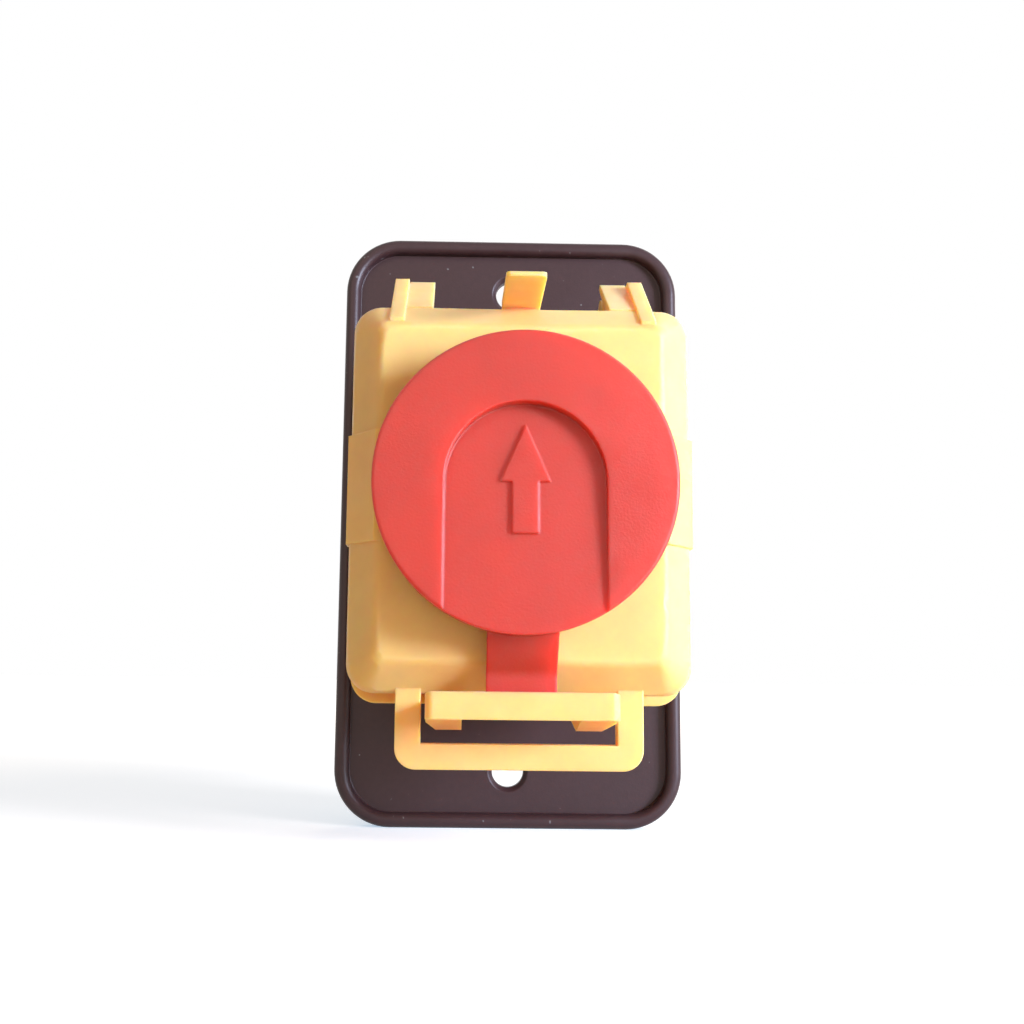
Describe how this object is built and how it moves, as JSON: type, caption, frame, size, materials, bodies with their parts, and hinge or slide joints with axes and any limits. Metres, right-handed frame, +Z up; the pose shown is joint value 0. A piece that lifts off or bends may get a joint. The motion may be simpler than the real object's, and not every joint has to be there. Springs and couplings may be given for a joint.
{
  "type": "no-volt release switch",
  "caption": "Panel-mounted no-volt release switch with a yellow hinged emergency-stop flap, a red sliding mushroom latch, start and stop buttons inside, and blade terminals behind.",
  "frame": {"origin": "on the back face of the plate, midway between the two mounting holes", "axes": "+Z up along the line of the mounting holes, towards the flap's hinge; the front faces -Y and the panel is the plane y = 0; +X to the right seen from the front"},
  "size_m": [0.06, 0.09, 0.105],
  "materials": {
    "black_plastic": "black moulded plastic with a fine grain",
    "yellow_plastic": "yellow moulded plastic, satin",
    "red_plastic": "signal red moulded plastic, satin",
    "retainer_plastic": "red moulded plastic",
    "case_plastic": "black moulded plastic, fine spark grain",
    "green_plastic": "green moulded plastic, glossy",
    "stop_plastic": "red moulded plastic, glossy",
    "carrier_plastic": "natural moulded plastic",
    "zinc_steel": "zinc plated steel",
    "pin_steel": "drawn steel wire",
    "magnet_steel": "bare soft iron",
    "copper": "enamelled copper wire",
    "brass": "rolled brass strip"
  },
  "bodies": {
    "base": {"base_plate": "black_plastic", "hinge_frame": "yellow_plastic", "frame_screws": "zinc_steel", "hinge_pins": "pin_steel", "switch_body": "case_plastic", "rear_cover": "case_plastic", "switch_bezel": "case_plastic", "bezel_screws": "zinc_steel", "line_terminals": "brass", "stop_terminals": "brass", "magnet_core": "magnet_steel", "coil_bobbin": "carrier_plastic", "coil_winding": "copper", "start_spring": "pin_steel", "stop_spring": "pin_steel"},
    "flap": {"flap_cover": "yellow_plastic"},
    "knob": {"mushroom_head": "red_plastic", "knob_retainer": "retainer_plastic", "retainer_screws": "zinc_steel"},
    "start_carriage": {"start_button": "green_plastic", "contact_carrier": "carrier_plastic", "moving_contacts": "brass", "armature": "magnet_steel"},
    "stop_plunger": {"stop_button": "stop_plastic", "stop_contact": "brass"}
  },
  "joints": [
    {"name": "flap_hinge", "type": "hinge", "parent": "base", "child": "flap", "pos_m": [0, -0.0205, 0.0325], "axis": [-1, 0, 0], "range_deg": [-3, 130]},
    {"name": "knob_slide", "type": "slide", "parent": "flap", "child": "knob", "axis": [0, 0, 1], "range_m": [-0.0025, 0]},
    {"name": "start_press", "type": "slide", "parent": "base", "child": "start_carriage", "axis": [0, 1, 0], "range_m": [0, 0.0036], "stiffness_N_per_m": 300, "springref_m": -0.002, "deforming": ["start_spring"]},
    {"name": "stop_press", "type": "slide", "parent": "base", "child": "stop_plunger", "axis": [0, 1, 0], "range_m": [0, 0.0036], "stiffness_N_per_m": 300, "springref_m": -0.002, "deforming": ["stop_spring"]}
  ]
}
